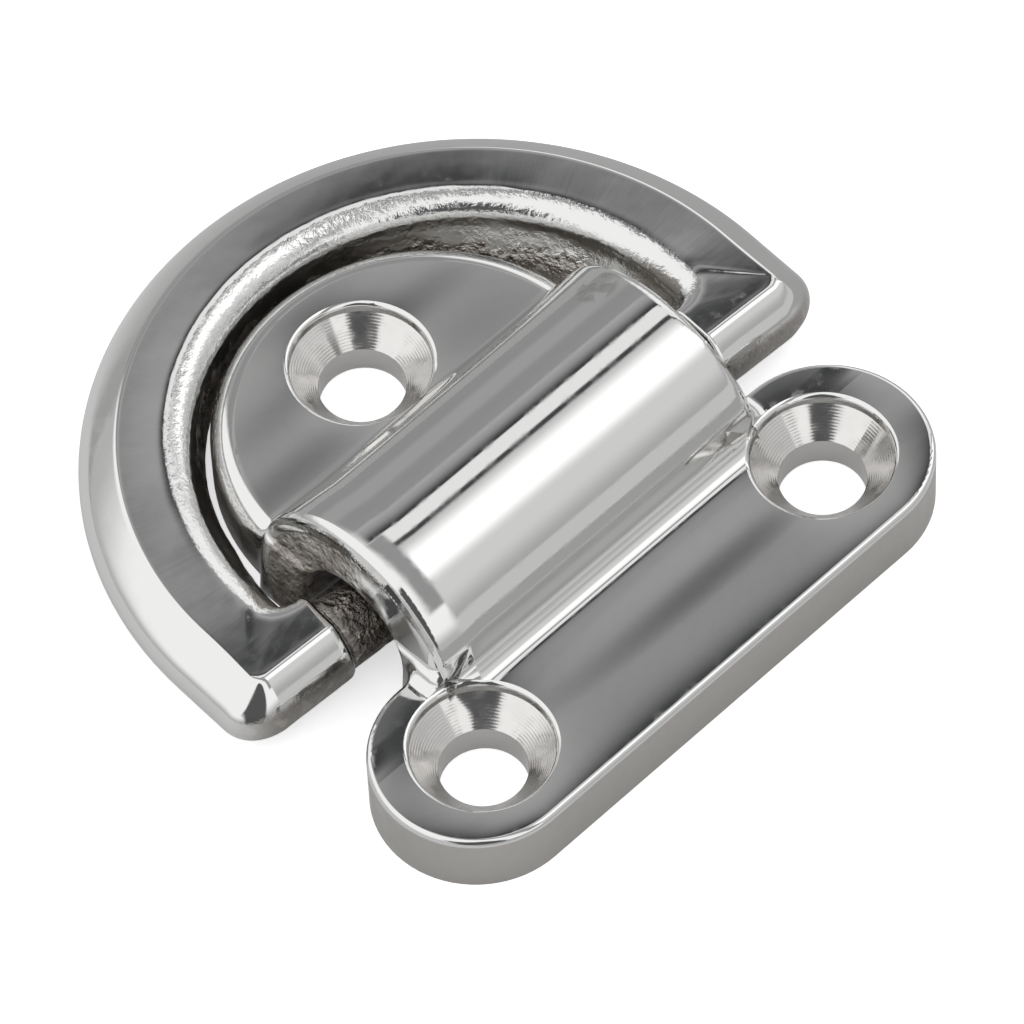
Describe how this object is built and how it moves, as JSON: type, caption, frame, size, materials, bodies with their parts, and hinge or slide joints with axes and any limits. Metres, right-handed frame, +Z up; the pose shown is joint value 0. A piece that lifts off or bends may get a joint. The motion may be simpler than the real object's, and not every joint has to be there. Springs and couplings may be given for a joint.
{
  "type": "folding d ring tie down",
  "caption": "Folding D-ring tie-down: a polished steel base plate with countersunk screw holes and an arched bridge that holds a hinged lashing ring.",
  "frame": {"origin": "centre of the screw circle, on the plane of the underside", "axes": "+X along the hinge, +Y from the front flange towards the folded ring's bow, +Z up from the surface it is screwed to"},
  "size_m": [0.0568, 0.0556, 0.0132],
  "materials": {
    "base_steel": "mirror-polished top, ground edges, rough cast under the bridge",
    "ring_steel": "mirror-polished top and flanks, rough cast inner wall"
  },
  "bodies": {
    "base": {"base_plate": "base_steel"},
    "ring": {"d_ring": "ring_steel"}
  },
  "joints": [
    {"name": "ring_hinge", "type": "hinge", "parent": "base", "child": "ring", "pos_m": [0.0003, 0.0045, 0.0035], "axis": [0.999, -0.0436, 0], "range_deg": [0, 130]}
  ]
}
